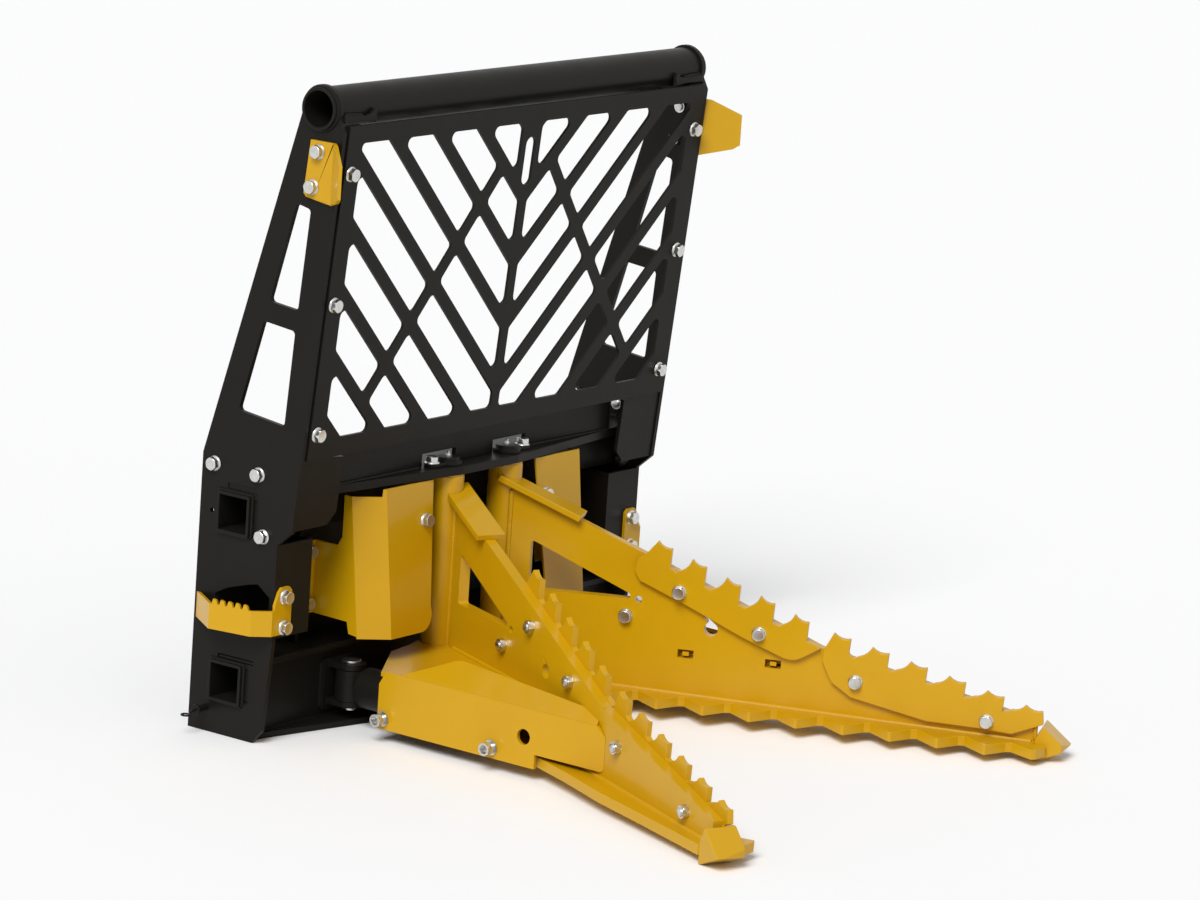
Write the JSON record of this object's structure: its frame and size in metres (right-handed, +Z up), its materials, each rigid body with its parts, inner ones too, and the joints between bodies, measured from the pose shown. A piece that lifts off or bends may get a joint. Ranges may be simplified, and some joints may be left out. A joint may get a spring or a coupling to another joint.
{
  "type": "tree puller",
  "caption": "Skid-steer tree puller: welded carrier with laser-cut guard and two hydraulic toothed jaws that swing shut on upright pins to grip a trunk.",
  "frame": {"origin": "middle of the base plate's underside, below the axis of the square cross tubes, at ground level", "axes": "+X across to the tool's right side, +Y rearward to the carrying machine, -Y to the jaws' tips, +Z up"},
  "size_m": [1.272, 1.2759, 1.27],
  "materials": {
    "charcoal_coat": "charcoal powder coat, satin",
    "yellow_enamel": "golden yellow gloss enamel",
    "zinc_plated": "zinc plated, dull",
    "chromed_rod": "hard chromed, polished",
    "bronze": "bearing bronze, turned"
  },
  "bodies": {
    "frame": {"side_plate_left": "charcoal_coat", "side_plate_right": "charcoal_coat", "top_tube": "charcoal_coat", "upper_cross_tube": "charcoal_coat", "lower_cross_tube": "charcoal_coat", "upper_pivot_plate": "charcoal_coat", "upper_web": "charcoal_coat", "lower_deck": "charcoal_coat", "lower_web": "charcoal_coat", "base_plate": "charcoal_coat", "guard_panel": "charcoal_coat", "guard_flange_left": "charcoal_coat", "guard_flange_right": "charcoal_coat", "header_plate": "charcoal_coat", "attach_plate": "charcoal_coat", "corner_gussets": "charcoal_coat", "inner_gussets": "charcoal_coat", "shield_brackets": "charcoal_coat", "shield_left": "yellow_enamel", "shield_right": "yellow_enamel", "step_left": "yellow_enamel", "step_right": "yellow_enamel", "deflector_left": "yellow_enamel", "deflector_right": "yellow_enamel", "pivot_pin_left": "charcoal_coat", "pivot_pin_right": "charcoal_coat", "cylinder_clevis_left": "charcoal_coat", "cylinder_clevis_right": "charcoal_coat", "base_pins": "zinc_plated", "guard_bolts": "zinc_plated", "frame_bolts": "zinc_plated", "latch_pin": "zinc_plated"},
    "left_jaw": {"jaw_tube_left": "yellow_enamel", "jaw_bushings_left": "bronze", "jaw_rib_left": "yellow_enamel", "gripping_plate_left": "yellow_enamel", "jaw_top_plate_left": "yellow_enamel", "jaw_flange_left": "yellow_enamel", "cylinder_cover_left": "yellow_enamel", "rear_blade_left": "yellow_enamel", "front_blade_left": "yellow_enamel", "jaw_nose_left": "yellow_enamel", "jaw_bolts_left": "zinc_plated", "rod_pin_left": "zinc_plated"},
    "left_barrel": {"barrel_left": "charcoal_coat"},
    "left_rod": {"piston_rod_left": "chromed_rod"},
    "right_jaw": {"jaw_tube_right": "yellow_enamel", "jaw_bushings_right": "bronze", "jaw_rib_right": "yellow_enamel", "gripping_plate_right": "yellow_enamel", "jaw_top_plate_right": "yellow_enamel", "jaw_flange_right": "yellow_enamel", "cylinder_cover_right": "yellow_enamel", "rear_blade_right": "yellow_enamel", "front_blade_right": "yellow_enamel", "jaw_nose_right": "yellow_enamel", "jaw_bolts_right": "zinc_plated", "rod_pin_right": "zinc_plated"},
    "right_barrel": {"barrel_right": "charcoal_coat"},
    "right_rod": {"piston_rod_right": "chromed_rod"}
  },
  "joints": [
    {"name": "left_jaw_swing", "type": "hinge", "parent": "frame", "child": "left_jaw", "pos_m": [-0.093, -0.125, 0.24], "axis": [0, 0, 1], "range_deg": [0, 24]},
    {"name": "left_barrel_swing", "type": "hinge", "parent": "frame", "child": "left_barrel", "pos_m": [-0.318, -0.095, 0.079], "axis": [0, 0, 1], "range_deg": [0, 20.5]},
    {"name": "left_rod_travel", "type": "slide", "parent": "left_barrel", "child": "left_rod", "axis": [0, -1, 0], "range_m": [0, 0.092]},
    {"name": "right_jaw_swing", "type": "hinge", "parent": "frame", "child": "right_jaw", "pos_m": [0.093, -0.125, 0.24], "axis": [0, 0, -1], "range_deg": [0, 24]},
    {"name": "right_barrel_swing", "type": "hinge", "parent": "frame", "child": "right_barrel", "pos_m": [0.318, -0.095, 0.079], "axis": [0, 0, -1], "range_deg": [0, 20.5]},
    {"name": "right_rod_travel", "type": "slide", "parent": "right_barrel", "child": "right_rod", "axis": [0, -1, 0], "range_m": [0, 0.092]}
  ],
  "couplings": [
    {"joint": "left_barrel_swing", "follows": "left_jaw_swing", "ratio": 0.8489},
    {"joint": "left_rod_travel", "follows": "left_jaw_swing", "m_per_rad": 0.21703},
    {"joint": "right_barrel_swing", "follows": "right_jaw_swing", "ratio": 0.8489},
    {"joint": "right_rod_travel", "follows": "right_jaw_swing", "m_per_rad": 0.21703}
  ]
}
